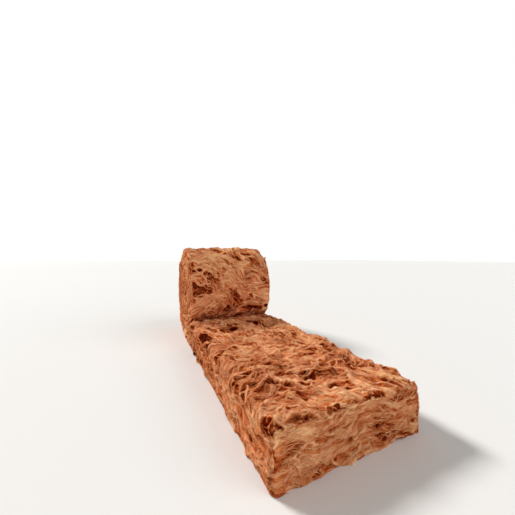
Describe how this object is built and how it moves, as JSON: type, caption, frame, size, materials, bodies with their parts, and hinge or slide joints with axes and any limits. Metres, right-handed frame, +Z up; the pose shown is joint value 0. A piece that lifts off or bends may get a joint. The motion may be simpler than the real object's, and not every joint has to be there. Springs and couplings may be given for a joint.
{
  "type": "insulation roll",
  "caption": "Roll of glass wool loft insulation, partly laid out flat from its free end and still wound in a spiral behind.",
  "frame": {"origin": "on the floor, in the middle of the width and of the overall length", "axes": "+X along the axis of the roll, across the blanket; +Y along the laid length, from the free end to the roll; +Z up from the floor"},
  "size_m": [0.57, 1.7098, 0.66],
  "materials": {
    "wool_blanket": "matted brown glass wool, loose and feathery on every face, lighter where the fibre stands up and dark red-brown in the hollows"
  },
  "bodies": {
    "root": {"wool_blanket": "wool_blanket"}
  },
  "joints": []
}
